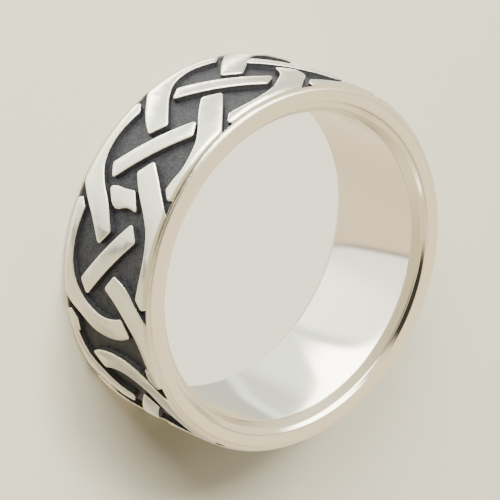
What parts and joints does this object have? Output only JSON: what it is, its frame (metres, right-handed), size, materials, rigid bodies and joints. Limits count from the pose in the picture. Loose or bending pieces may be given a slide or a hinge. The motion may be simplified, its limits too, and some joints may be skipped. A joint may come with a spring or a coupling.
{
  "type": "celtic knot ring",
  "caption": "Wide cast silver finger ring with a plaited knot in low relief on a sunk, darkened ground between two plain rims, and a smooth polished bore with rounded ends.",
  "frame": {"origin": "centre of the finger hole on the lower side face, which rests on the surface", "axes": "+Z along the finger hole's axis, out of the upper side face; -Y towards the part of the band that faces the camera"},
  "size_m": [0.0228, 0.0228, 0.008],
  "materials": {
    "silver": "polished sterling silver, with a blackened matt ground sunk between the raised strands"
  },
  "bodies": {
    "root": {"knot_band": "silver"}
  },
  "joints": []
}
